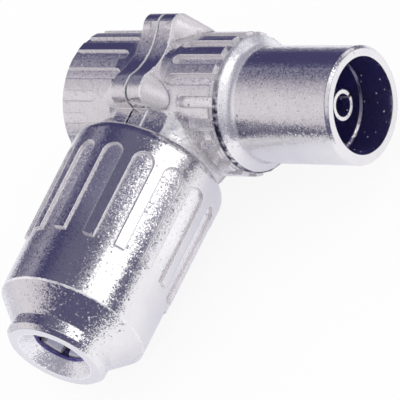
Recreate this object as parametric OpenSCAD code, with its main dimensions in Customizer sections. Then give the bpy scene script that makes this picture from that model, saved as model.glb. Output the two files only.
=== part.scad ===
// Right-angle antenna connector: a die-cast housing in two halves with an aerial socket in front
// and a cable nut at right angles to it.
// The socket's axis is X and its mouth opens towards +X at x = 0. The cable leaves towards -Y.
// Both axes are level, because the connector lies on its side.
// A depth is counted from the mouth towards -X, and a drop from the socket's axis towards -Y.

/* [Socket] */
// Bore that grips the plug's outer sleeve
socket_bore_d = 9.6; // [9.4:0.05:9.8]
// Wider lead-in at the mouth
lead_in_d = 10.1; // [9.9:0.05:10.6]
// Depth of the lead-in
lead_in_depth = 3.9; // [2:0.1:6]
// Outside of the socket tube
tube_d = 12.3; // [11.8:0.1:13]
// Broken edge round the mouth
mouth_edge = 0.3; // [0.1:0.05:0.5]
// Length of the tube, from the mouth to the step
tube_len = 12.9; // [12:0.1:15]

/* [Front barrel] */
// Length of the step from the tube to the barrel's full diameter
step_len = 0.95; // [0.6:0.05:2]
// Hollow corner between the tube and that step
step_edge = 0.25; // [0.1:0.05:0.3]
// Width of the ring behind the step, which the flutes open into
ring_w = 0.45; // [0.3:0.05:1.2]
// Diameter of the barrel
barrel_d = 15.3; // [15:0.1:16.4]
// Length of the barrel, from the step to the flange
barrel_len = 8.3; // [8:0.1:12]
// Flutes round each barrel
flute_count = 20; // [12:1:24]
// Width of one flute on a barrel
flute_w = 1.2; // [0.8:0.1:1.4]
// Depth of the front barrel's flutes
barrel_flute_h = 0.4; // [0.2:0.05:0.5]

/* [Rear barrel] */
// Diameter of the rear barrel
back_d = 15.7; // [15:0.1:16.4]
// Length of the rear barrel behind its flange
back_len = 8.7; // [7:0.25:12]
// Depth of the rear barrel's flutes
back_flute_h = 0.25; // [0.1:0.05:0.5]
// Bevel round the rear barrel's closed end
back_edge = 0.5; // [0.2:0.1:1.2]
// Thickness of the rear wall
back_wall = 1.7; // [1.2:0.1:3]

/* [Flange] */
// Thickness of each flange plate
plate_t = 2.05; // [1.8:0.05:3]
// Diameter of the flange behind the barrel
flange_d = 16.2; // [16:0.1:18]
// Radius of the four rounded ears
ear_r = 1.65; // [1.4:0.05:1.9]
// Place of the far ears, away from the cable
far_ear_y = 4.7; // [4.2:0.1:5.2]
// Place of the near ears, on the cable's side
near_ear_y = 3.65; // [3.2:0.05:4]
// Depth of the hollow between two ears
waist_depth = 0.92; // [0.8:0.02:1.1]
// Radius of the hollow between two ears
waist_r = 7.6; // [6:0.1:10]
// Place of the hollow's deepest point, from halfway between the ears
waist_shift = 0.3; // [0:0.05:0.5]
// Length of the shoulders that carry the ears on the barrels
shoulder_len = 3.3; // [2:0.1:4]
// Groove along the joint of the two halves
seam = 0.12; // [0.05:0.01:0.2]
// Locating pegs in the ears
peg_d = 1.4; // [1:0.1:1.6]
// Length of the locating pegs
peg_len = 1.2; // [0.8:0.1:1.5]

/* [Neck] */
// Diameter of the collar that the nut is tightened against
collar_d = 14.1; // [13.6:0.1:14.6]
// Drop of the collar's end below the socket's axis
collar_drop = 8.2; // [8.1:0.1:10]
// Half width of the flange plates where they cross the collar
strip_z = 6.05; // [5.6:0.05:6.4]
// Outside of the neck's thread
thread_d = 12.6; // [12:0.1:13]
// Depth of the thread
thread_h = 0.3; // [0.2:0.05:0.5]
// Length of the neck below the collar
neck_len = 13; // [11:0.5:16]
// Channel for the cable
channel_d = 7.2; // [6:0.1:7.6]

/* [Cable nut] */
// Length of the nut's fluted body, without the bevel and the ring
nut_body_len = 20.15; // [18:0.25:26]
// Diameter at the top
nut_top_d = 17.06; // [16.6:0.05:18]
// Diameter at the bevel
nut_low_d = 16.1; // [15.4:0.05:17]
// Rounding of the nut's shoulder
shoulder_r = 1.3; // [0.6:0.1:1.6]
// Length of the bevel
bevel_len = 2.65; // [1.5:0.1:4]
// Diameter of the ring round the cable hole
nut_ring_d = 11.1; // [10:0.1:12]
// Length of that ring
nut_ring_len = 1.68; // [1:0.05:3]
// Bevel on the ring's rim
nut_ring_edge = 0.45; // [0.2:0.05:0.6]
// Flutes round the nut
nut_flute_count = 15; // [10:1:16]
// Width of one flute
nut_flute_w = 2.3; // [1.8:0.1:2.5]
// Depth of the flutes
nut_flute_h = 0.28; // [0.2:0.02:0.5]
// Start of the flutes below the nut's top
nut_flute_top = 3.05; // [2.4:0.1:4]
// End of the ribs between the flutes, below the nut's top
nut_rib_end = 13.95; // [10:0.25:16]
// Hole for the cable
cable_hole_d = 5.9; // [5:0.1:7]
// Width of the countersink round the hole
sink_d = 8.0; // [7.2:0.1:9]
// Depth of the countersink
sink_depth = 1.38; // [0.8:0.02:2]
// Plain land of the cable hole
hole_land = 0.4; // [0.2:0.05:0.8]

/* [Cable clamp] */
// Outside of the clamp's ring
clamp_d = 11.8; // [11.2:0.1:12]
// Length of the nut's inner cone, which squeezes the clamp
clamp_cone_len = 5.55; // [4:0.1:7]
// Bore of the clamp's jaws
jaw_bore_d = 5.2; // [4.5:0.1:5.8]
// Length of the jaws' grip
jaw_len = 2.3; // [1.5:0.1:3.5]
// Number of slots between the jaws
jaw_slots = 6; // [4:2:8]
// Width of a slot
jaw_slot_w = 0.9; // [0.5:0.1:1.2]

/* [Insulator and contact] */
// Depth of the insulator's face inside the socket
face_depth = 9.5; // [8.5:0.25:10.5]
// Depth of the seat that the insulator is pushed against
seat_depth = 13.5; // [12:0.25:14]
// Length of the insulator behind its seat
insulator_back = 7; // [5:0.25:8]
// Chamber inside the two halves
chamber_d = 11.4; // [10.8:0.1:11.8]
// Depth of the centre contact's tip
tip_depth = 2.6; // [2:0.1:4]
// Hole for the plug's pin
pin_hole_d = 2.4; // [2.3:0.02:2.5]
// Outside of the centre contact
contact_d = 3.26; // [3:0.02:3.6]
// Open seam along the contact's sleeve
contact_seam = 0.3; // [0.15:0.05:0.5]
// Turn of that seam, down from the side away from the cable
contact_seam_turn = 10; // [0:5:45]
// Diameter of the terminal head
head_d = 5; // [4.4:0.1:6]
// Length of the terminal head behind the cable's axis
head_back = 4.2; // [3:0.1:5]
// Cross hole for the cable's inner conductor
wire_hole_d = 1.6; // [1:0.1:2]
// Diameter of the terminal screw
screw_d = 2.5; // [2:0.1:3]
// Width of the screw's slot
screw_slot = 0.5; // [0.3:0.05:0.8]
// Depth of the screw's slot
screw_slot_depth = 0.9; // [0.5:0.05:1.2]

/* [Fits] */
// Radial clearance between neck and nut
run_clear = 0.06; // [0.03:0.01:0.1]
// Radial clearance of parts that are pushed together
push_clear = 0.03; // [0.01:0.01:0.05]
// Gap between the faces that meet when the nut is tight
face_clear = 0.05; // [0.02:0.01:0.1]

/* [Hidden] */
$fn = 96;
// A little more, so that a cut passes a face
over = 0.5;
// Depths along the socket's axis
step_end = tube_len + step_len;
ring_end = step_end + ring_w;
plate_front = step_end + barrel_len;
reach = plate_front + plate_t;
plate_back = reach + plate_t;
back_end = plate_back + back_len;
// The ears reach out as far as the nut's shoulder but for this, so that the connector lies flat
ear_short = 0.03;
ear_z = nut_top_d / 2 - ear_short - ear_r;
waist_z = ear_z + ear_r - waist_depth;
// Radius of the flutes' floor
barrel_r = barrel_d / 2 - barrel_flute_h;
back_r = back_d / 2 - back_flute_h;
bore_step = (lead_in_d - socket_bore_d) / 2;
// Short taper where a barrel meets the flange's waist
taper_len = 1.5;
taper_h = 0.17;
taper_r = barrel_d / 2 - taper_h;
// Gaps from the flange to the round ends of the flutes in front and at the back
flute_gap = 1.75;
back_flute_gap = 0.8;
// Turn of the rear barrel's flutes against the front ones
back_flute_turn = 4;
// Shoulders reach the barrel in these directions, counted from the side away from the cable
far_shoulder_turn = 36;
near_shoulder_turn = 128;
shoulder_tip_r = 1;
// Height of a shoulder's first slice over the flange
proud = 0.01;
// Tongue that hooks the cover to the front at the far side
tongue_y = 6.3;
tongue_t = 0.8;
tongue_w = 4.4;
tongue_len = 1.4;
// Boss between the barrels and the collar: its drops along the cable's axis and its radius
boss_start = 3.2;
boss_wide = 5.2;
collar_len = 0.9;
boss_end = collar_drop - collar_len;
boss_r = 7.9;
// The boss and the collar are flattened to two arcs, a little inside the flange's strip
crown_r = 11.5;
crown_inset = 0.05;
crown_z = strip_z - crown_inset;
// Undercut between the collar and the thread
relief_r = 5.6;
relief_end = collar_drop + thread_h;
// Gap from the boss to the ends of the flutes that point at it
boss_gap = 0.4;
// More drops along the cable's axis, down the neck and the nut
neck_end = collar_drop + neck_len;
land_len = 1.4;
nut_top = collar_drop + face_clear;
rib_end = nut_top + nut_rib_end;
bevel_start = nut_top + nut_body_len;
bevel_end = bevel_start + bevel_len;
nut_end = bevel_end + nut_ring_len;
hole_top = nut_end - sink_depth - hole_land;
cone_top = hole_top - clamp_cone_len;
nut_bore_r = thread_d / 2 + run_clear;
// Radial room between the clamp and the nut's cone, which keeps them apart while the nut turns
cone_clear = 0.1;
// Step from the cable hole to the nut's cone
hole_step = 0.4;
cone_low_r = cable_hole_d / 2 + hole_step;
cone_slope = (nut_bore_r - cone_low_r) / clamp_cone_len;
// Drop at which the nut's cone has a given radius
function cone_drop(r) = hole_top - (r - cone_low_r) / cone_slope;
// The nut is drawn with this turn of its flutes, up from the side of the mouth
nut_turn = 1.3;
// Taper of the nut, and its radius over the ribs at a given drop
nut_slope = (nut_top_d / 2 - nut_flute_h - nut_low_d / 2) / nut_body_len;
function nut_r(drop) = nut_top_d / 2 - nut_slope * (drop - nut_top);
// Height at which the bevel's cone would meet the ribs, above the bevel
bevel_rise = nut_flute_h * bevel_len / (nut_low_d / 2 - nut_ring_d / 2);
clamp_top = neck_end + face_clear;
end_gap = 0.2;
clamp_end = hole_top - end_gap;
screw_gap = 0.1;
screw_tip = reach + wire_hole_d / 2 + screw_gap;
head_end = reach + head_back;

// Turns a child's Z axis along the socket, so that its height is a depth
module along_socket() {
    rotate([0, -90, 0]) children();
}

// Turns a child's Z axis along the cable, so that its height is a drop
module along_cable() {
    translate([-reach, 0, 0]) rotate([90, 0, 0]) children();
}

// Extrudes an outline drawn in Y and Z, from a depth towards the mouth
module plate(depth, thickness) {
    translate([-depth, 0, 0]) rotate([90, 0, 90]) linear_extrude(thickness) children();
}

// One slot through a round body on the X side, with a round end at its start
module slot(start, end, width, inner_r, outer_r) {
    translate([inner_r, 0, 0]) rotate([0, 90, 0]) linear_extrude(outer_r - inner_r) {
        translate([-start - width / 2, 0]) circle(d = width, $fn = 32);
        translate([-end, -width / 2]) square([end - start - width / 2, width]);
    }
}

// Depth of the round end of a barrel's flute, short of the flange and of the neck's boss
function flute_tip(angle, at_flange, way) =
    barrel_r * sin(angle) > -boss_start ? at_flange
        : let (at_boss = reach + way * sqrt((boss_r + boss_gap) ^ 2 - (barrel_r * cos(angle)) ^ 2))
          way > 0 ? max(at_flange, at_boss) : min(at_flange, at_boss);

// What is cut away round a barrel: its flutes, and what the children reach outside their floor;
// way is 1 behind the flange and -1 in front
module barrel_flutes(at_flange, open_end, floor_r, way, turn) {
    outer_r = floor_r + 4 * over;
    intersection() {
        difference() {
            cylinder(r = outer_r, h = back_end + 2 * over);
            translate([0, 0, -over]) cylinder(r = floor_r, h = back_end + 4 * over);
        }
        union() {
            for (i = [0 : flute_count - 1]) {
                angle = turn + i * 360 / flute_count;
                mirror([0, 0, way > 0 ? 0 : 1]) rotate([0, 0, angle])
                    slot(way * flute_tip(angle, at_flange, way), way * open_end, flute_w,
                         floor_r - over, outer_r + over);
            }
            children();
        }
    }
}

// Outline of the flange, with four ears, hollow waists and the strip down the neck
module flange_outline(inset) {
    difference() {
        union() {
            circle(d = flange_d - 2 * inset);
            for (side = [-1, 1]) {
                translate([far_ear_y, side * ear_z]) circle(r = ear_r - inset);
                translate([-near_ear_y, side * ear_z]) circle(r = ear_r - inset);
            }
            polygon([[far_ear_y, ear_z + ear_r - inset], [-near_ear_y, ear_z + ear_r - inset],
                     [-near_ear_y - ear_r + inset, ear_z], [-near_ear_y - ear_r + inset, -ear_z],
                     [-near_ear_y, -ear_z - ear_r + inset], [far_ear_y, -ear_z - ear_r + inset],
                     [far_ear_y + ear_r - inset, -ear_z], [far_ear_y + ear_r - inset, ear_z]]);
            translate([-collar_drop, -strip_z + inset])
                square([collar_drop, 2 * (strip_z - inset)]);
        }
        for (side = [-1, 1]) {
            translate([(far_ear_y - near_ear_y) / 2 + waist_shift, side * (waist_z + waist_r)])
                circle(r = waist_r + inset);
        }
    }
}

// Shoulders from a flange plate's face to the barrel; way is 1 behind the flange and -1 in front
module shoulders(face, way) {
    far = [far_ear_y, far_shoulder_turn];
    near = [-near_ear_y, near_shoulder_turn];
    tip = barrel_r - shoulder_tip_r;
    sunk = plate_t / 2;
    for (ear = [far, near]) {
        along_socket() hull() for (side = [-1, 1]) {
            translate([side * ear_z, ear[0], face - way * (sunk - proud) / 2])
                cylinder(r = ear_r, h = sunk + proud, center = true, $fn = 32);
            translate([side * tip * sin(ear[1]), tip * cos(ear[1]), face + way * shoulder_len])
                cylinder(r = shoulder_tip_r, h = proud, $fn = 32);
        }
    }
}

// Neck with its flattened boss and collar; its threaded part is cut back between two lands
module neck() {
    along_cable() {
        intersection() {
            rotate_extrude() polygon([
                [0, boss_start], [boss_r - (boss_wide - boss_start), boss_start],
                [boss_r, boss_wide], [collar_d / 2, boss_end], [collar_d / 2, collar_drop],
                [0, collar_drop]]);
            translate([0, crown_z - crown_r, 0]) cylinder(r = crown_r, h = neck_end);
            translate([0, crown_r - crown_z, 0]) cylinder(r = crown_r, h = neck_end);
        }
        rotate_extrude() polygon([
            [0, boss_wide], [relief_r, boss_wide], [relief_r, relief_end],
            [thread_d / 2, relief_end + thread_h], [thread_d / 2, collar_drop + land_len],
            [thread_d / 2 - thread_h, collar_drop + land_len + thread_h],
            [thread_d / 2 - thread_h, neck_end - land_len - thread_h],
            [thread_d / 2, neck_end - land_len], [thread_d / 2, neck_end - thread_h],
            [thread_d / 2 - thread_h, neck_end], [0, neck_end]]);
    }
}

// Everything on one side of the joint between the halves
module half_space(front) {
    size = 2 * (reach + neck_end);
    translate([front ? -reach : -reach - size, -size / 2, -size / 2]) cube(size);
}

// Rim that is cut back along the joint of the halves, from a depth towards the mouth
module seam_cut(depth) {
    size = 4 * neck_end;
    plate(depth, seam + over) difference() {
        square(size, center = true);
        flange_outline(seam);
        translate([-neck_end - over, seam - thread_d / 2])
            square([neck_end + over, thread_d - 2 * seam]);
    }
}

// Cable channel, from the chamber to the end of the neck
module channel() {
    along_cable() cylinder(d = channel_d, h = neck_end + over);
}

module front_housing() {
    color("#c9c7c8") difference() {
        union() {
            along_socket() {
                rotate_extrude() polygon([
                    [0, 0], [tube_d / 2 - mouth_edge, 0], [tube_d / 2, mouth_edge],
                    [tube_d / 2, tube_len - step_edge],
                    [tube_d / 2 + step_edge, tube_len + step_edge / 2], [barrel_d / 2, step_end],
                    [barrel_d / 2, plate_front - taper_len], [taper_r, plate_front],
                    [taper_r, reach], [0, reach]]);
            }
            plate(reach, plate_t) flange_outline(0);
            shoulders(plate_front, -1);
            intersection() {
                neck();
                half_space(true);
            }
            for (side = [-1, 1], y = [far_ear_y, -near_ear_y]) {
                translate([-reach - peg_len, y, side * ear_z]) rotate([0, 90, 0])
                    cylinder(d = peg_d, h = peg_len + over, $fn = 32);
            }
        }
        along_socket() {
            translate([0, 0, -over]) cylinder(d = socket_bore_d, h = reach + 2 * over);
            translate([0, 0, -over]) cylinder(d = lead_in_d, h = lead_in_depth + over);
            translate([0, 0, lead_in_depth])
                cylinder(d1 = lead_in_d, d2 = socket_bore_d, h = bore_step);
            translate([0, 0, seat_depth]) cylinder(d = chamber_d, h = reach - seat_depth + over);
            barrel_flutes(plate_front - flute_gap, ring_end - over, barrel_r, -1, 0)
                translate([0, 0, tube_len - over])
                    cylinder(d = 2 * barrel_d, h = ring_end - tube_len + over);
        }
        channel();
        seam_cut(reach + over);
        translate([-reach - over, tongue_y - push_clear, -tongue_w / 2 - push_clear])
            cube([tongue_len + over + push_clear, tongue_t + 2 * push_clear,
                  tongue_w + 2 * push_clear]);
    }
}

module rear_cover() {
    color("#c3c1c4") difference() {
        union() {
            along_socket() rotate_extrude() polygon([
                [0, reach], [taper_r, reach], [taper_r, plate_back],
                [back_d / 2, plate_back + taper_len], [back_d / 2, back_end + over],
                [0, back_end + over]]);
            plate(plate_back, plate_t) flange_outline(0);
            shoulders(plate_back, 1);
            intersection() {
                neck();
                half_space(false);
            }
            translate([-reach - over, tongue_y, -tongue_w / 2])
                cube([tongue_len + over, tongue_t, tongue_w]);
        }
        along_socket() {
            translate([0, 0, reach - over])
                cylinder(d = chamber_d, h = back_end - back_wall - reach + over);
            rotate_extrude() polygon([
                [0, back_end], [back_d / 2 - back_edge, back_end],
                [back_d / 2 + over, back_end - back_edge - over],
                [back_d / 2 + over, back_end + 2 * over], [0, back_end + 2 * over]]);
            barrel_flutes(plate_back + back_flute_gap, back_end + 2 * over, back_r, 1,
                          back_flute_turn);
        }
        channel();
        seam_cut(reach + seam);
        for (side = [-1, 1], y = [far_ear_y, -near_ear_y]) {
            translate([-reach - peg_len - end_gap, y, side * ear_z]) rotate([0, 90, 0])
                cylinder(d = peg_d + 2 * push_clear, h = peg_len + over, $fn = 32);
        }
    }
}

// Outline of the nut's rounded shoulder
function shoulder_points() =
    let (inner = nut_r(nut_top + shoulder_r) - shoulder_r)
    [for (a = [0 : 15 : 90]) [inner + shoulder_r * sin(a), nut_top + shoulder_r * (1 - cos(a))]];

// What is cut away round the nut, outside the flutes' floor: the flutes, and all of it below
// the ribs
module nut_flutes() {
    outer_r = nut_top_d;
    intersection() {
        rotate_extrude() polygon([
            [nut_r(nut_top) - nut_flute_h, nut_top], [nut_r(nut_end) - nut_flute_h, nut_end],
            [outer_r, nut_end], [outer_r, nut_top]]);
        union() {
            for (i = [0 : nut_flute_count - 1]) {
                rotate([0, 0, nut_turn + i * 360 / nut_flute_count])
                    slot(nut_top + nut_flute_top, rib_end + over, nut_flute_w, nut_bore_r,
                         outer_r + over);
            }
            translate([0, 0, rib_end]) cylinder(r = outer_r + over, h = nut_end - rib_end + over);
        }
    }
}

module cable_nut() {
    color("#cfcdd0") along_cable() difference() {
        rotate_extrude() polygon(concat(
            [[0, nut_top]], shoulder_points(),
            [[nut_low_d / 2 + nut_flute_h, bevel_start - bevel_rise], [nut_ring_d / 2, bevel_end],
             [nut_ring_d / 2, nut_end - nut_ring_edge],
             [nut_ring_d / 2 - nut_ring_edge, nut_end], [0, nut_end]]));
        nut_flutes();
        rotate_extrude() polygon([
            [0, nut_top - over], [nut_bore_r + thread_h + over, nut_top - over],
            [nut_bore_r, nut_top + thread_h], [nut_bore_r, cone_top], [cone_low_r, hole_top],
            [cable_hole_d / 2, hole_top], [cable_hole_d / 2, nut_end - sink_depth],
            [sink_d / 2, nut_end], [sink_d / 2 + over, nut_end + over], [0, nut_end + over]]);
    }
}

module clamp_jaws() {
    slope_top = cone_drop(clamp_d / 2 + cone_clear);
    end_r = cone_low_r + (hole_top - clamp_end) * cone_slope - cone_clear;
    color("#b9b4ae") along_cable() difference() {
        rotate_extrude() polygon([
            [channel_d / 2, clamp_top], [clamp_d / 2 - thread_h, clamp_top],
            [clamp_d / 2, clamp_top + thread_h], [clamp_d / 2, slope_top], [end_r, clamp_end],
            [jaw_bore_d / 2, clamp_end], [jaw_bore_d / 2, clamp_end - jaw_len],
            [channel_d / 2, clamp_end - jaw_len - (channel_d - jaw_bore_d) / 2]]);
        for (i = [0 : jaw_slots / 2 - 1]) {
            rotate([0, 0, i * 360 / jaw_slots])
                translate([-clamp_d, -jaw_slot_w / 2, (clamp_top + slope_top) / 2])
                    cube([2 * clamp_d, jaw_slot_w, clamp_end]);
        }
    }
}

module insulator() {
    color("#2a2a2e") along_socket() rotate_extrude() polygon([
        [contact_d / 2 + push_clear, face_depth],
        [socket_bore_d / 2 - push_clear, face_depth],
        [socket_bore_d / 2 - push_clear, seat_depth],
        [chamber_d / 2 - push_clear, seat_depth],
        [chamber_d / 2 - push_clear, seat_depth + insulator_back],
        [contact_d / 2 + push_clear, seat_depth + insulator_back]]);
}

module centre_contact() {
    color("#d8d2c4") difference() {
        along_socket() {
            translate([0, 0, tip_depth])
                cylinder(d = contact_d, h = seat_depth + insulator_back - tip_depth + over);
            translate([0, 0, seat_depth + insulator_back])
                cylinder(d = head_d, h = head_end - seat_depth - insulator_back);
        }
        along_socket() {
            translate([0, 0, tip_depth - over]) cylinder(d = pin_hole_d, h = face_depth);
            translate([0, 0, reach]) cylinder(d = screw_d, h = head_back + over);
        }
        along_cable() translate([0, 0, -head_d / 4])
            cylinder(d = wire_hole_d, h = head_d, $fn = 48);
        rotate([-contact_seam_turn, 0, 0]) translate([-face_depth, 0, -contact_seam / 2])
            cube([face_depth, contact_d, contact_seam]);
    }
}

module terminal_screw() {
    color("#b0a890") along_socket() difference() {
        translate([0, 0, screw_tip]) cylinder(d = screw_d - 2 * push_clear,
                                              h = head_end - screw_tip);
        translate([-screw_d, -screw_slot / 2, head_end - screw_slot_depth])
            cube([2 * screw_d, screw_slot, screw_slot_depth + over]);
    }
}

front_housing();
rear_cover();
cable_nut();
clamp_jaws();
insulator();
centre_contact();
terminal_screw();
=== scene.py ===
"""Looks of the right-angle antenna connector: nickel castings, clamp, contact, stage and camera."""

import math

import bmesh
import bpy
from mathutils import Matrix, Vector


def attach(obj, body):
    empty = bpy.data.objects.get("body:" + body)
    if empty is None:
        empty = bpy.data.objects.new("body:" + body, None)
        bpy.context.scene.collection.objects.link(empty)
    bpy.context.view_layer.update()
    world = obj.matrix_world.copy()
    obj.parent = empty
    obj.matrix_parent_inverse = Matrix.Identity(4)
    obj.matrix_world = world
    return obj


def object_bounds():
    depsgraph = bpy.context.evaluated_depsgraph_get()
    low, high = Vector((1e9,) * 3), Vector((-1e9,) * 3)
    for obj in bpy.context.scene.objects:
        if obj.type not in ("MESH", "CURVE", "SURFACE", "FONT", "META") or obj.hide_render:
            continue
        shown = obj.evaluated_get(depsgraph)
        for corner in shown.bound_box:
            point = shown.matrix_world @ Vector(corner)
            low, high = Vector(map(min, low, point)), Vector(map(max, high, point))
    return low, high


MM = 0.001

# Camera, fitted to the photograph
AIM = Vector((-12.43, -14.42, 2.767)) * MM
CAMERA_DISTANCE = 302.84 * MM
CAMERA_AZIMUTH = -34.01
CAMERA_ELEVATION = 38.95
CAMERA_ROLL = math.radians(-40.7)
LENS = 267.6
SENSOR = 36
CLIP_NEAR = 0.01
CLIP_FAR = 10

# Places on the connector, from the part's own sizes
CABLE_AXIS_X = -24.2 * MM
NECK_THREAD_TOP = -9.9 * MM
NECK_THREAD_END = -19.5 * MM
THREAD_CORE_R = 6.0 * MM
THREAD_CREST_R = 6.29 * MM
THREAD_PITCH = 1.0 * MM
SMOOTH_ANGLE = 25

# Axes: direction inwards and a point. The last runs through the corner under the near shoulder
SOCKET = ((-1, 0, 0), (0, 0, 0))
CABLE = ((0, -1, 0), (CABLE_AXIS_X, 0, 0))
NEAR_SHOULDER = ((-1, 0, 0), (0, -5.2 * MM, 6.0 * MM))

# Flutes: axis, ribs' radius, its taper, start and end along the axis, how far the floors' skin
# fades beyond the end, and how rough it is beside the rest
FRONT_FLUTES = (SOCKET, 7.65 * MM, 0.0, 14.3 * MM, 20.6 * MM, 0.1 * MM, 1.0)
REAR_FLUTES = (SOCKET, 7.85 * MM, 0.0, 27.0 * MM, 35.3 * MM, 0.1 * MM, 0.3)
NUT_FLUTES = (CABLE, 8.61 * MM, 0.0099, 11.2 * MM, 17.5 * MM, 5.0 * MM, 1.0)
FLOOR_DEPTHS = (0.1 * MM, 0.2 * MM)

# Zones: axis, then smallest and largest radius, then start and end along the axis
SOCKET_BORE = (SOCKET, 0.0, 5.15 * MM, 0.3 * MM, 20 * MM)
CONTACT_BORE = (SOCKET, 0.0, 1.25 * MM, 2.7 * MM, 20 * MM)
SEAM = (SOCKET, 6.0 * MM, 12 * MM, 24.02 * MM, 24.28 * MM)
SEAM_LINE = (SOCKET, 6.0 * MM, 12 * MM, 24.12 * MM, 24.24 * MM)
SEAM_RIM = (SOCKET, 7.0 * MM, 12 * MM, 24.32 * MM, 24.37 * MM)
PLATE_EDGE = (SOCKET, 8.0 * MM, 12 * MM, 22.12 * MM, 22.30 * MM)
RING_CORNER = (SOCKET, 7.0 * MM, 7.28 * MM, 13.52 * MM, 14.04 * MM)
LEAD_IN = (SOCKET, 4.7 * MM, 5.1 * MM, 3.8 * MM, 4.2 * MM)
TUBE_CORNER = (SOCKET, 6.0 * MM, 7.4 * MM, 12.2 * MM, 13.9 * MM)
FRONT_SHOULDERS = (SOCKET, 7.72 * MM, 12 * MM, 18.3 * MM, 22.12 * MM)
NEAR_BLEND = (NEAR_SHOULDER, 0.0, 1.9 * MM, 18.4 * MM, 22.0 * MM)
REAR_SHOULDERS = (SOCKET, 7.92 * MM, 12 * MM, 26.28 * MM, 30.0 * MM)
BOSS = (CABLE, 0.0, 8.6 * MM, 6.3 * MM, 9 * MM)
BOSS_TOP = (CABLE, 0.0, 6.7 * MM, 5.3 * MM, 6.3 * MM)
BOSS_CREST = (CABLE, 6.8 * MM, 7.5 * MM, 5.3 * MM, 8.4 * MM)
SADDLE = (CABLE, 7.5 * MM, 10.5 * MM, 5.3 * MM, 8.4 * MM)
COUNTERSINK = (CABLE, 0.0, 4.0 * MM, 31.3 * MM, 34 * MM)
NUT_BORE = (CABLE, 0.0, 5.0 * MM, 8 * MM, 31.3 * MM)
NUT_END = (CABLE, 4.2 * MM, 8.1 * MM, 28.6 * MM, 32.6 * MM)
NUT_RIM = (CABLE, 7.85 * MM, 9 * MM, 28.36 * MM, 28.46 * MM)

# Zones with a share each. Where two shares stand, the first is for the upper side and the second
# for the low side, and the places where one starts and the other is full follow
# Way to the low side, where painted shade grows and painted light fades
LOW_WAY = (0.0, -0.8, -0.6)
# Painted shade on the low side of the seam and of the ring corner; the seam line itself is a dark
# joint all round
SHADE_ON_LOW_SIDE = (0.0, 1.0, -6 * MM, 0.5 * MM)
SEAM_JOINT_AND_SHADE = ((SEAM_LINE, 1.0), (SEAM, *SHADE_ON_LOW_SIDE))
FRONT_JOINTS_AND_SHADE = (*SEAM_JOINT_AND_SHADE, (RING_CORNER, *SHADE_ON_LOW_SIDE))
# Painted light: half matt skin in the pale colour, full on the tube corner's upper side and weaker
# on its low side, and weaker by the saddle and the near blend
FRONT_LIT_SATIN = ((TUBE_CORNER, 1.0, 0.2, 1.5 * MM, 5 * MM), (SADDLE, 0.4), (NEAR_BLEND, 0.2))
# Painted highlights on the boss crest, the plate's front edge and the nut's rim; the plate edge and
# the nut rim fade on the low side
FRONT_HIGHLIGHTS = ((BOSS_CREST, 1.0), (PLATE_EDGE, 1.0, 0.0, 0.2 * MM, 1.2 * MM))
NUT_HIGHLIGHTS = ((NUT_RIM, 1.0, 0.7, 19.5 * MM, 22 * MM),)
# Painted light and shade on the lead-in step: where it turns from shaded to lit towards the low
# side
STEP_LIT_SIDE = (0.5 * MM, 3.5 * MM)

# How soft the borders of the zones are
ZONE_SOFT = 0.06 * MM
HIGHLIGHT_SOFT = 0.15 * MM
SATIN_SOFT = 0.25 * MM

# Patterns of the metal: sizes, and the heights of the two that are bumps
WAVES = (3 * MM, 0.02 * MM)
DENTS = (0.7 * MM, 0.012 * MM)
BLOTCH_SIZE = 2.2 * MM
PATCH_SIZE = 0.6 * MM
RAGGED_SIZE = 0.22 * MM
RAGGED_SHARE = 1.4
RAGGED_STEP = (1.25, 1.4)
SPECK_SPACING = 0.9 * MM
SPECK_R = 0.13 * MM

# Edges: rays, and the cosines where the mask is full and where it ends
EDGE_RAYS = 8
EDGE_RANGE = (0.75, 0.99)
FILLET = 0.9 * MM

# Grooves and wide corners: rays, then reach, and the open shares where each mask is full and ends
RECESS_RAYS = 8
GROOVES = (0.3 * MM, 0.18, 0.58)
CORNERS = (2.2 * MM, 0.55, 0.85)
# Painted shade: share of the dark colour laid into grooves by occlusion
GROOVE_SHADE = 0.4

# How much of the metal's mirror each kind of skin takes away
CORNER_FILM = 0.5
MATT_FILM = 0.7
SATIN_FILM = 0.7
LIGHT_FILM = 0.7
FLOOR_FILM = 0.06
BORE_FILM = 0.09
SPECK_FILM = 0.9

# Roughness: how far the grain spreads it, and what floors and corners add
GRAIN_SPREAD = (-0.05, 0.06)
SKIN_ROUGHER = 0.06

# Dark joint lines, and painted shade in grooves, on the seam's low side and in the ring corner
JOINT_AND_SHADE_DARK = (0.05, 0.045, 0.09)
# Painted shade: the bores' metal darker and bluish
BORE = (0.30, 0.27, 0.68)
MATT = (0.80, 0.765, 0.79)
# Painted shade and painted light of the lead-in step
STEP_SHADE = (0.16, 0.15, 0.22)
STEP_LIT = (0.85, 0.80, 0.76)
# Pale colour of painted highlights on edges and rims, of painted light on half matt skin, of random
# pale patches and of specks in bores
PALE_HIGHLIGHT = (0.93, 0.92, 0.94)
FLOORS_LIGHTER = 1.2

# Metals: colour and stain
NICKEL = ((0.80, 0.79, 0.79), (0.76, 0.75, 0.76))
STEEL = ((0.86, 0.87, 1.0), (0.82, 0.83, 0.98))
SILVER = ((0.86, 0.85, 0.82), (0.82, 0.80, 0.76))
BRASS = ((0.72, 0.66, 0.52), (0.66, 0.60, 0.46))
PLASTIC = (0.03, 0.027, 0.085)

# Skins: roughness, size of the grain, how far it leans, and radius of the edges
CAST_SKIN = (0.16, 0.11 * MM, 0.15, 0.16 * MM)
CLAMP_SKIN = (0.28, 0.12 * MM, 0.2, 0.10 * MM)
CONTACT_SKIN = (0.24, 0.12 * MM, 0.12, 0.10 * MM)
SCREW_SKIN = (0.28, 0.12 * MM, 0.15, 0.08 * MM)

# Floor: half its width, its colour, and how much of it is plain white to the eye
FLOOR_HALF = 1.5
FLOOR_COLOUR = (0.95, 0.95, 0.95)
FLOOR_WHITE = 0.88

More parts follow.
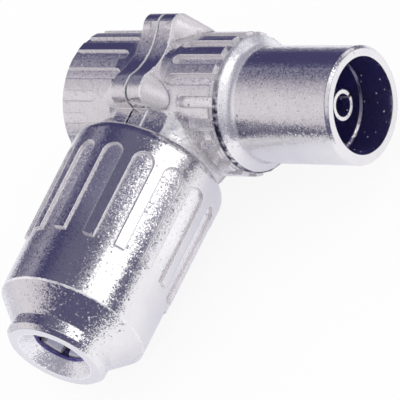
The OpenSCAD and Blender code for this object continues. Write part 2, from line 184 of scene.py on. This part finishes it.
# What the metal mirrors of the floor: a sheet round a middle that ends between two distances,
# brighter past a slanting line, and the far floor, which is lit towards one azimuth
SHEET_MIDDLE = (CABLE_AXIS_X, -8 * MM, 0)
SHEET_END = (45 * MM, 80 * MM)
SHEET_GLOW = 0.6
SHEET_DIM = (0.97, 0.96, 1.08)
SHEET_BRIGHT = (1.22, 1.21, 1.27)
BRIGHT_AZIMUTH = -27
BRIGHT_START = (11 * MM, 20 * MM)
FAR_DARK = (0.16, 0.155, 0.24)
FAR_LIT = (0.78, 0.76, 0.84)
FAR_AZIMUTH = 185
FAR_COSINES = (0.75, 0.97)

# The room that the metal mirrors, and its soft boxes: azimuth, elevation, the angles from the
# middle where each is full and where it ends, and colour
ROOM = (0.06, 0.055, 0.15)
SOFT_BOXES = (
    (290, 12, 15, 40, (0.11, 0.105, 0.20)),
    (70, 72, 8, 30, (0.15, 0.145, 0.23)),
    (150, 36, 5, 12, (0.27, 0.26, 0.36)),
    (204, 22, 19, 50, (0.84, 0.80, 0.84)),
    (188, 0, 14, 28, (0.82, 0.80, 0.86)),
    (350, 38, 22, 40, (0.80, 0.78, 0.83)),
    (68, 8, 12, 20, (0.9, 0.88, 0.92)),
    (26, 25, 13, 21, (1.8, 1.8, 1.8)),
)
WHITE = (1, 1, 1)


def direction(azimuth, elevation):
    """Unit vector towards an azimuth from +X and an elevation above the floor, in degrees."""
    a, e = math.radians(azimuth), math.radians(elevation)
    return (math.cos(e) * math.cos(a), math.cos(e) * math.sin(a), math.sin(e))


def new_material(name):
    """A material with only an output and a Principled shader in its tree."""
    material = bpy.data.materials.new(name)
    material.use_nodes = True
    tree = material.node_tree
    tree.nodes.clear()
    output = tree.nodes.new("ShaderNodeOutputMaterial")
    shader = tree.nodes.new("ShaderNodeBsdfPrincipled")
    tree.links.new(shader.outputs["BSDF"], output.inputs["Surface"])
    return material, tree, shader


def feed(tree, socket, term):
    """Links an input to another node's output, or sets it to a plain number, vector or colour."""
    if isinstance(term, bpy.types.NodeSocket):
        tree.links.new(term, socket)
    elif isinstance(term, tuple) and len(socket.default_value) == 4:
        socket.default_value = (*term, 1)
    else:
        socket.default_value = term


def noise(tree, place, size, detail=2.0, roughness=0.5):
    """Noise whose grains are about size across, in metres."""
    node = tree.nodes.new("ShaderNodeTexNoise")
    node.inputs["Scale"].default_value = 1 / size
    node.inputs["Detail"].default_value = detail
    node.inputs["Roughness"].default_value = roughness
    tree.links.new(place, node.inputs["Vector"])
    return node.outputs["Fac"]


def remap(tree, number, low, high, from_low=0.0, from_high=1.0):
    """Spreads a number between two others."""
    node = tree.nodes.new("ShaderNodeMapRange")
    node.inputs["From Min"].default_value = from_low
    node.inputs["From Max"].default_value = from_high
    node.inputs["To Min"].default_value = low
    node.inputs["To Max"].default_value = high
    feed(tree, node.inputs["Value"], number)
    return node.outputs["Result"]


def spread_noise(tree, fac, low, high):
    """Spreads a noise, most of which lies near a half, between two numbers."""
    return remap(tree, fac, low, high, 0.3, 0.7)


def scalar(tree, operation, first, second):
    """A number from two others."""
    node = tree.nodes.new("ShaderNodeMath")
    node.operation = operation
    feed(tree, node.inputs[0], first)
    feed(tree, node.inputs[1], second)
    return node.outputs[0]


def vector_node(tree, operation, first, second=None):
    """A vector math node on one or two vectors."""
    node = tree.nodes.new("ShaderNodeVectorMath")
    node.operation = operation
    feed(tree, node.inputs[0], first)
    if second is not None:
        feed(tree, node.inputs[1], second)
    return node


def vector_math(tree, operation, first, second=None):
    """A vector from one or two others."""
    return vector_node(tree, operation, first, second).outputs["Vector"]


def scaled(tree, vector, scale):
    """A vector times a number."""
    node = vector_node(tree, "SCALE", vector)
    feed(tree, node.inputs["Scale"], scale)
    return node.outputs["Vector"]


def dot(tree, first, second):
    """Dot product of two vectors."""
    return vector_node(tree, "DOT_PRODUCT", first, second).outputs["Value"]


def length(tree, vector):
    """Length of a vector."""
    return vector_node(tree, "LENGTH", vector).outputs["Value"]


def mix_colour(tree, factor, first, second):
    """Blends two colours by a factor."""
    node = tree.nodes.new("ShaderNodeMix")
    node.data_type = "RGBA"
    feed(tree, node.inputs["Factor"], factor)
    feed(tree, node.inputs[6], first)
    feed(tree, node.inputs[7], second)
    return node.outputs[2]


def mix_shader(tree, factor, first, second):
    """Blends two shaders by a factor."""
    node = tree.nodes.new("ShaderNodeMixShader")
    feed(tree, node.inputs["Fac"], factor)
    tree.links.new(first, node.inputs[1])
    tree.links.new(second, node.inputs[2])
    return node.outputs[0]


def glow(tree, kind, colour):
    """Plain light of a colour: an Emission of a surface or the Background of a world."""
    node = tree.nodes.new(kind)
    feed(tree, node.inputs["Color"], colour)
    return node.outputs[0]


def bump(tree, height, distance, normal):
    """Raises the surface by a height texture, on top of another normal."""
    node = tree.nodes.new("ShaderNodeBump")
    node.inputs["Distance"].default_value = distance
    tree.links.new(height, node.inputs["Height"])
    tree.links.new(normal, node.inputs["Normal"])
    return node.outputs["Normal"]


def rounded_edges(tree, radius):
    """Normal of a surface whose edges are softened by a radius, and a mask of those edges."""
    bevel = tree.nodes.new("ShaderNodeBevel")
    bevel.samples = EDGE_RAYS
    feed(tree, bevel.inputs["Radius"], radius)
    plain = tree.nodes.new("ShaderNodeNewGeometry").outputs["Normal"]
    normal = bevel.outputs["Normal"]
    return normal, remap(tree, dot(tree, normal, plain), 1.0, 0.0, *EDGE_RANGE)


def grains(tree, place, size, tilt, normal):
    """Blasted skin: each small grain leans its own way, and few of them lean much more."""
    cells = tree.nodes.new("ShaderNodeTexVoronoi")
    cells.inputs["Scale"].default_value = 1 / size
    tree.links.new(place, cells.inputs["Vector"])
    lean = vector_math(tree, "SUBTRACT", cells.outputs["Color"], (0.5, 0.5, 0.5))
    steep = remap(tree, noise(tree, place, 2.5 * size, 0.0), 0.0, 1.0, 0.4, 0.85)
    strength = remap(tree, scalar(tree, "MULTIPLY", steep, steep), 0.55, 3.0)
    lean = scaled(tree, lean, scalar(tree, "MULTIPLY", strength, tilt))
    return vector_math(tree, "NORMALIZE", vector_math(tree, "ADD", normal, lean))


def recess(tree, reach, closed, clear):
    """How far a spot lies in a groove or corner, from 0 in the open to 1 deep inside."""
    node = tree.nodes.new("ShaderNodeAmbientOcclusion")
    node.samples = RECESS_RAYS
    node.inputs["Distance"].default_value = reach
    return remap(tree, node.outputs["AO"], 1.0, 0.0, closed, clear)


def round_axis(tree, place, axis):
    """Distance from an axis, and the way along it."""
    way, point = axis
    offset = vector_math(tree, "SUBTRACT", place, point)
    across = vector_math(tree, "MULTIPLY", offset, tuple(1 - abs(a) for a in way))
    return length(tree, across), dot(tree, offset, way)


def between(tree, number, low, high, soft):
    """1 from low to high, falling to 0 over a soft step outside."""
    above = remap(tree, number, 0.0, 1.0, low - soft, low)
    below = remap(tree, number, 1.0, 0.0, high, high + soft)
    return scalar(tree, "MULTIPLY", above, below)


def zone(tree, place, area, soft):
    """Mask of a zone round an axis."""
    axis, inner, outer, start, end = area
    distance, along = round_axis(tree, place, axis)
    ring = between(tree, distance, inner, outer, soft)
    return scalar(tree, "MULTIPLY", ring, between(tree, along, start, end, soft))


def low_side(tree, place, start, end):
    """Grows from 0 to 1 towards the low side, down and towards -Y, where painted shade grows and
    painted light fades.
    """
    return remap(tree, dot(tree, place, LOW_WAY), 0.0, 1.0, start, end)


def shared_zones(tree, place, entries, soft=ZONE_SOFT):
    """Mask of zones, each with its share, or with its shares on the upper and on the low side."""
    total = 0.0
    for area, share, *fade in entries:
        if fade:
            low_share, start, end = fade
            share = remap(tree, low_side(tree, place, start, end), share, low_share)
        part = scalar(tree, "MULTIPLY", zone(tree, place, area, soft), share)
        total = scalar(tree, "MAXIMUM", total, part)
    return total


def zones(tree, place, areas):
    """Mask of several whole zones together."""
    return shared_zones(tree, place, [(area, 1.0) for area in areas])


def specks(tree, place):
    """Mask of small scattered dots."""
    cells = tree.nodes.new("ShaderNodeTexVoronoi")
    cells.inputs["Scale"].default_value = 1 / SPECK_SPACING
    tree.links.new(place, cells.inputs["Vector"])
    size = SPECK_R / SPECK_SPACING
    return remap(tree, cells.outputs["Distance"], 1.0, 0.0, 0.5 * size, size)


def flute_floors(tree, place, flutes):
    """Mask of the flutes' floors, which keep the rough skin of the casting."""
    axis, radius, taper, start, end, fade, share = flutes
    distance, along = round_axis(tree, place, axis)
    ribs = scalar(tree, "SUBTRACT", radius, scalar(tree, "MULTIPLY", along, taper))
    depth = remap(tree, scalar(tree, "SUBTRACT", ribs, distance), 0.0, 1.0, *FLOOR_DEPTHS)
    begun = remap(tree, along, 0.0, share, start - 0.1 * MM, start)
    left = remap(tree, along, 1.0, 0.0, end, end + fade)
    return scalar(tree, "MULTIPLY", depth, scalar(tree, "MULTIPLY", begun, left))


def cast_metal(name, metal, skin, flutes=None, bores=(), coarse=(), joints_and_shade=(), matt=(), lit_satin=(),
               bare=(), fillets=(), highlights=(), lead_in=(), film=0.0, edge_film=0.4):
    """Satin metal: blasted grain, uneven roughness, faint stains, and edges pale with wear and
    painted highlight.

    Its zones are bores with painted shade, coarse skin, dark joints and painted shade in grooves,
    matt skin, half matt skin with painted light, corners that stay bare metal, wide fillets, rims
    with painted highlights and the lead-in of a bore with painted light and shade. A film is a
    share of plain skin over the metal, all over or on the edges.
    """
    colour, stain = metal
    rough, grain_size, grain_tilt, edge_radius = skin
    material, tree, shader = new_material(name)
    place = tree.nodes.new("ShaderNodeTexCoord").outputs["Object"]

    floors = flute_floors(tree, place, flutes) if flutes else 0.0
    hole = zones(tree, place, bores)
    bare_metal = zones(tree, place, bare)
    dull_skin = scalar(tree, "SUBTRACT", zones(tree, place, matt), bare_metal)
    # Painted light: half matt skin in a pale colour
    lit_satin_skin = shared_zones(tree, place, lit_satin, SATIN_SOFT)

    radius = remap(tree, zones(tree, place, fillets), edge_radius, FILLET)
    normal, edge = rounded_edges(tree, radius)
    for size, height, detail in ((*WAVES, 2.0), (*DENTS, 1.0)):
        normal = bump(tree, noise(tree, place, size, detail), height, normal)
    tilt = scalar(tree, "MULTIPLY", floors, grain_tilt)
    for area, share in coarse:
        rougher = zone(tree, place, area, ZONE_SOFT)
        rougher = scalar(tree, "MULTIPLY", rougher, share * grain_tilt)
        tilt = scalar(tree, "ADD", tilt, rougher)
    tilt = scalar(tree, "ADD", tilt, grain_tilt)
    tree.links.new(grains(tree, place, grain_size, tilt, normal), shader.inputs["Normal"])

    blotch = spread_noise(tree, noise(tree, place, BLOTCH_SIZE, 4.0, 0.6), 0.0, 1.0)
    patches = remap(tree, noise(tree, place, PATCH_SIZE, 1.0), 0.0, 1.0, 0.25, 0.55)
    ragged = scalar(tree, "MULTIPLY", noise(tree, place, RAGGED_SIZE, 1.0), RAGGED_SHARE)
    # Painted highlights on the rims join the random pale patches
    ragged = scalar(tree, "ADD", shared_zones(tree, place, highlights, HIGHLIGHT_SOFT), ragged)
    ragged = remap(tree, ragged, 0.0, 1.0, *RAGGED_STEP)
    light = scalar(tree, "MULTIPLY", ragged, remap(tree, patches, 0.5, 1.0))
    # The dark joint line, and painted shade on the low side of the seam and the ring corner
    joint_and_shade_mask = scalar(tree, "MULTIPLY", shared_zones(tree, place, joints_and_shade), patches)
    dots = scalar(tree, "MULTIPLY", hole, specks(tree, place))
    # Painted light and shade: the lead-in step dark above, pale in patches on the low side
    lit_step = scalar(tree, "MULTIPLY", patches, low_side(tree, place, *STEP_LIT_SIDE))
    corner = scalar(tree, "SUBTRACT", recess(tree, *CORNERS), hole)
    corner = scalar(tree, "SUBTRACT", corner, bare_metal)
    corner = scalar(tree, "MAXIMUM", corner, dull_skin)
    corner = scalar(tree, "MAXIMUM", corner, scalar(tree, "MULTIPLY", lit_satin_skin, SATIN_FILM))
    # Painted shade: grooves darkened by occlusion
    groove = scalar(tree, "MULTIPLY", recess(tree, *GROOVES), GROOVE_SHADE)

    step_colour = mix_colour(tree, lit_step, STEP_SHADE, STEP_LIT)
    base = mix_colour(tree, blotch, colour, stain)
    layers = (
        (floors, tuple(min(1.0, FLOORS_LIGHTER * c) for c in colour)),
        (corner, MATT),
        # Painted light: the half matt skin's pale colour
        (lit_satin_skin, PALE_HIGHLIGHT),
        # Pale edges: rubbed wear and painted highlight; pale rims: painted highlight
        (scalar(tree, "MAXIMUM", edge, light), PALE_HIGHLIGHT),
        (groove, JOINT_AND_SHADE_DARK),
        (joint_and_shade_mask, JOINT_AND_SHADE_DARK),
        # Painted shade inside the bores
        (hole, BORE),
        (dots, PALE_HIGHLIGHT),
        (zones(tree, place, lead_in), step_colour),
    )
    for mask, layer in layers:
        base = mix_colour(tree, mask, base, layer)
    tree.links.new(base, shader.inputs["Base Color"])

    grain = noise(tree, place, 2 * grain_size, 2.0, 0.6)
    roughness = spread_noise(tree, grain, *(rough + s for s in GRAIN_SPREAD))
    soft = scalar(tree, "ADD", floors, scalar(tree, "MULTIPLY", corner, 2.0))
    soft = scalar(tree, "MULTIPLY", soft, SKIN_ROUGHER)
    tree.links.new(scalar(tree, "ADD", roughness, soft), shader.inputs["Roughness"])

    films = (
        (corner, CORNER_FILM),
        (dull_skin, MATT_FILM),
        (edge, edge_film),
        (light, LIGHT_FILM),
        (floors, FLOOR_FILM),
        (hole, BORE_FILM),
        (dots, SPECK_FILM),
    )
    dull = film
    for mask, share in films:
        dull = scalar(tree, "MAXIMUM", dull, scalar(tree, "MULTIPLY", mask, share))
    tree.links.new(scalar(tree, "SUBTRACT", 1.0, dull), shader.inputs["Metallic"])
    return material


def moulded_plastic(name, colour, rough):
    """Dark moulded plastic with a fine matt skin and painted highlights on its edges."""
    material, tree, shader = new_material(name)
    place = tree.nodes.new("ShaderNodeTexCoord").outputs["Object"]
    normal, edge = rounded_edges(tree, 0.1 * MM)
    skin = noise(tree, place, 0.25 * MM, 3.0)
    tree.links.new(bump(tree, skin, 0.01 * MM, normal), shader.inputs["Normal"])
    # Painted highlight: edges 1.5 times lighter
    edge_highlight = tuple(1.5 * c for c in colour)
    tree.links.new(mix_colour(tree, edge, colour, edge_highlight), shader.inputs["Base Color"])
    roughness = spread_noise(tree, skin, rough - 0.06, rough + 0.06)
    tree.links.new(roughness, shader.inputs["Roughness"])
    shader.inputs["Metallic"].default_value = 0.0
    return material


def paint(node, material):
    """Gives a CAD node its one material."""
    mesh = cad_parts[node].data
    mesh.materials.clear()
    mesh.materials.append(material)


def smooth(node, angle):
    """Shades a CAD node smooth up to an angle, without moving any vertex."""
    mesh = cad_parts[node].data
    mesh.polygons.foreach_set("use_smooth", [True] * len(mesh.polygons))
    limit = math.cos(math.radians(angle))
    work = bmesh.new()
    work.from_mesh(mesh)
    for edge in work.edges:
        faces = edge.link_faces
        edge.smooth = len(faces) == 2 and faces[0].normal.dot(faces[1].normal) > limit
    work.to_mesh(mesh)
    work.free()


def thread_ridge(material):
    """Helical ridge of the neck's thread, between its two plain lands, tapered at both ends."""
    steps = 64
    taper_steps = steps / 4
    flank = 0.36 * THREAD_PITCH
    crest = 0.08 * THREAD_PITCH
    sunk = THREAD_CORE_R - 0.05 * MM
    profile = [(sunk, -flank), (THREAD_CREST_R, -crest), (THREAD_CREST_R, crest), (sunk, flank)]
    turns = (NECK_THREAD_TOP - NECK_THREAD_END) / THREAD_PITCH - 1
    count = int(turns * steps)
    mesh = bmesh.new()
    rows = []
    for i in range(count + 1):
        angle = 2 * math.pi * i / steps
        fade = min(1.0, i / taper_steps, (count - i) / taper_steps)
        along = NECK_THREAD_TOP - 0.5 * THREAD_PITCH - THREAD_PITCH * i / steps
        row = []
        for radius, shift in profile:
            r = sunk + (radius - sunk) * fade
            spot = (CABLE_AXIS_X + r * math.cos(angle), along + shift, r * math.sin(angle))
            row.append(mesh.verts.new(spot))
        rows.append(row)
    for near, far in zip(rows, rows[1:]):
        for k in range(len(profile)):
            after = (k + 1) % len(profile)
            mesh.faces.new((near[k], near[after], far[after], far[k]))
    mesh.faces.new(rows[0])
    mesh.faces.new(list(reversed(rows[-1])))
    bmesh.ops.recalc_face_normals(mesh, faces=mesh.faces)
    data = bpy.data.meshes.new("neck_thread")
    mesh.to_mesh(data)
    mesh.free()
    data.materials.append(material)
    ridge = bpy.data.objects.new("neck_thread", data)
    bpy.context.scene.collection.objects.link(ridge)
    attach(ridge, "housing")


def mirrored_floor(tree, plain):
    """The floor as the metal mirrors it: a bright sheet round the object, and the far floor."""
    place = tree.nodes.new("ShaderNodeTexCoord").outputs["Object"]
    offset = vector_math(tree, "SUBTRACT", place, SHEET_MIDDLE)
    towards = dot(tree, vector_math(tree, "NORMALIZE", offset), direction(FAR_AZIMUTH, 0))
    far = mix_colour(tree, remap(tree, towards, 0.0, 1.0, *FAR_COSINES), FAR_DARK, FAR_LIT)
    slant = dot(tree, offset, direction(BRIGHT_AZIMUTH, 0))
    side = remap(tree, slant, 0.0, 1.0, *BRIGHT_START)
    edge = remap(tree, length(tree, offset), 0.0, 1.0, *SHEET_END)
    sheet = mix_colour(tree, edge, mix_colour(tree, side, SHEET_DIM, SHEET_BRIGHT), far)
    near = mix_shader(tree, SHEET_GLOW, plain, glow(tree, "ShaderNodeEmission", sheet))
    return mix_shader(tree, edge, near, glow(tree, "ShaderNodeEmission", far))


def studio_floor(level):
    """A plain pale floor that keeps the object's shadow and is white to the eye where it is lit."""
    mesh = bpy.data.meshes.new("floor")
    corners = [(x * FLOOR_HALF, y * FLOOR_HALF, level)
               for x, y in ((-1, -1), (1, -1), (1, 1), (-1, 1))]
    mesh.from_pydata(corners, [], [(0, 1, 2, 3)])
    floor = bpy.data.objects.new("floor", mesh)
    bpy.context.scene.collection.objects.link(floor)
    material, tree, shader = new_material("floor_white")
    feed(tree, shader.inputs["Base Color"], FLOOR_COLOUR)
    shader.inputs["Roughness"].default_value = 1.0
    shader.inputs["Specular IOR Level"].default_value = 0.0
    plain = shader.outputs["BSDF"]
    light_path = tree.nodes.new("ShaderNodeLightPath")
    share = scalar(tree, "MULTIPLY", light_path.outputs["Is Camera Ray"], FLOOR_WHITE)
    seen = mix_shader(tree, share, plain, glow(tree, "ShaderNodeEmission", WHITE))
    mirrored = mirrored_floor(tree, plain)
    output = next(n for n in tree.nodes if n.type == "OUTPUT_MATERIAL")
    both = mix_shader(tree, light_path.outputs["Is Glossy Ray"], seen, mirrored)
    tree.links.new(both, output.inputs["Surface"])
    mesh.materials.append(material)


def studio_world():
    """White to the camera and to plain surfaces; metal mirrors a dim room with soft boxes in it."""
    world = bpy.data.worlds.new("studio")
    world.use_nodes = True
    bpy.context.scene.world = world
    tree = world.node_tree
    tree.nodes.clear()
    output = tree.nodes.new("ShaderNodeOutputWorld")
    light_path = tree.nodes.new("ShaderNodeLightPath")
    sky = tree.nodes.new("ShaderNodeTexCoord").outputs["Generated"]
    room = ROOM
    for azimuth, elevation, full, end, colour in SOFT_BOXES:
        cosines = (math.cos(math.radians(end)), math.cos(math.radians(full)))
        share = remap(tree, dot(tree, sky, direction(azimuth, elevation)), 0.0, 1.0, *cosines)
        room = mix_colour(tree, share, room, colour)
    mirrored = glow(tree, "ShaderNodeBackground", room)
    plain = glow(tree, "ShaderNodeBackground", WHITE)
    both = mix_shader(tree, light_path.outputs["Is Glossy Ray"], plain, mirrored)
    tree.links.new(both, output.inputs["Surface"])


def camera():
    """The camera at the photograph's viewing angle."""
    back = Vector(direction(CAMERA_AZIMUTH, CAMERA_ELEVATION))
    level_right = Vector((0, 0, 1)).cross(back).normalized()
    level_up = back.cross(level_right)
    right = math.cos(CAMERA_ROLL) * level_right + math.sin(CAMERA_ROLL) * level_up
    up = back.cross(right)
    data = bpy.data.cameras.new("camera")
    data.sensor_width = SENSOR
    data.lens = LENS
    data.clip_start = CLIP_NEAR
    data.clip_end = CLIP_FAR
    eye = bpy.data.objects.new("camera", data)
    turn = Matrix((right, up, back)).transposed()
    eye.matrix_world = Matrix.Translation(AIM + CAMERA_DISTANCE * back) @ turn.to_4x4()
    bpy.context.scene.collection.objects.link(eye)
    bpy.context.scene.camera = eye


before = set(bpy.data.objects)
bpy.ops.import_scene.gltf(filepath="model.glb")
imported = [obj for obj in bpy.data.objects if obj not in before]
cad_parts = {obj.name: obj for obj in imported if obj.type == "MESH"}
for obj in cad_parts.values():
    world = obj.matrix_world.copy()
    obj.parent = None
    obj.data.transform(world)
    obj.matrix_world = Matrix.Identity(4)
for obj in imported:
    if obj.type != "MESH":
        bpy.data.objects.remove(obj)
cad_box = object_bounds()

front_nickel = cast_metal(
    "nickel_front", NICKEL, CAST_SKIN, FRONT_FLUTES, bores=(SOCKET_BORE,),
    coarse=((BOSS, 2.0), (BOSS_TOP, 2.0)), joints_and_shade=FRONT_JOINTS_AND_SHADE, matt=(FRONT_SHOULDERS,),
    lit_satin=FRONT_LIT_SATIN, bare=(BOSS, BOSS_TOP), fillets=(TUBE_CORNER, FRONT_SHOULDERS, NEAR_BLEND),
    highlights=FRONT_HIGHLIGHTS, lead_in=(LEAD_IN,))
rear_nickel = cast_metal(
    "nickel_rear", NICKEL, CAST_SKIN, REAR_FLUTES, coarse=((BOSS, 2.0),), joints_and_shade=SEAM_JOINT_AND_SHADE,
    matt=(REAR_SHOULDERS,), bare=(BOSS,), fillets=(REAR_SHOULDERS,), highlights=((SEAM_RIM, 1.0),))
nut_nickel = cast_metal(
    "nickel_nut", NICKEL, CAST_SKIN, NUT_FLUTES, bores=(NUT_BORE,),
    coarse=((COUNTERSINK, 2.0), (NUT_END, 1.1)), lit_satin=((COUNTERSINK, 1.0),), highlights=NUT_HIGHLIGHTS,
    edge_film=0.12)
contact_silver = cast_metal("contact_silver", SILVER, CONTACT_SKIN, bores=(CONTACT_BORE,))

paint("front_housing", front_nickel)
paint("rear_cover", rear_nickel)
paint("cable_nut", nut_nickel)
paint("clamp_jaws", cast_metal("clamp_steel", STEEL, CLAMP_SKIN, film=0.92))
paint("centre_contact", contact_silver)
paint("terminal_screw", cast_metal("screw_brass", BRASS, SCREW_SKIN))
paint("insulator", moulded_plastic("insulator_plastic", PLASTIC, 0.45))
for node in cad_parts:
    smooth(node, SMOOTH_ANGLE)

thread_ridge(front_nickel)
studio_floor(cad_box[0][2])
studio_world()
camera()

scene = bpy.context.scene
scene.view_settings.view_transform = "Standard"
